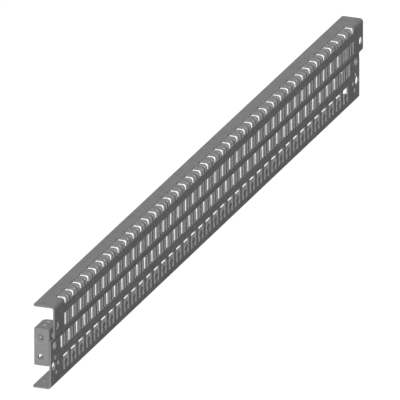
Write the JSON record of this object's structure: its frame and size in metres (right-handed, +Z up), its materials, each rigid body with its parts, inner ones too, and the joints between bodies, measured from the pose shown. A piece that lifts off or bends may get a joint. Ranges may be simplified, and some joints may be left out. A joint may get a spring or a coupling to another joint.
{
  "type": "wiring duct",
  "caption": "Slotted sheet-steel wiring duct: a long channel with rows of wire slots and cable-tie windows punched in its web, stepped ends and a bent fixing bracket inside each end",
  "frame": {"origin": "under the middle of the duct's box, on the surface that its bottom flange stands on", "axes": "+X along the duct towards the end whose upper half stands out, +Y from the slotted web into the channel, +Z up"},
  "size_m": [1.0624, 0.0272, 0.0995],
  "materials": {
    "duct_steel": "matt zinc-coated sheet steel",
    "bracket_steel": "matt zinc-coated sheet steel"
  },
  "bodies": {
    "root": {"duct_profile": "duct_steel", "near_end_bracket": "bracket_steel", "far_end_bracket": "bracket_steel"}
  },
  "joints": []
}
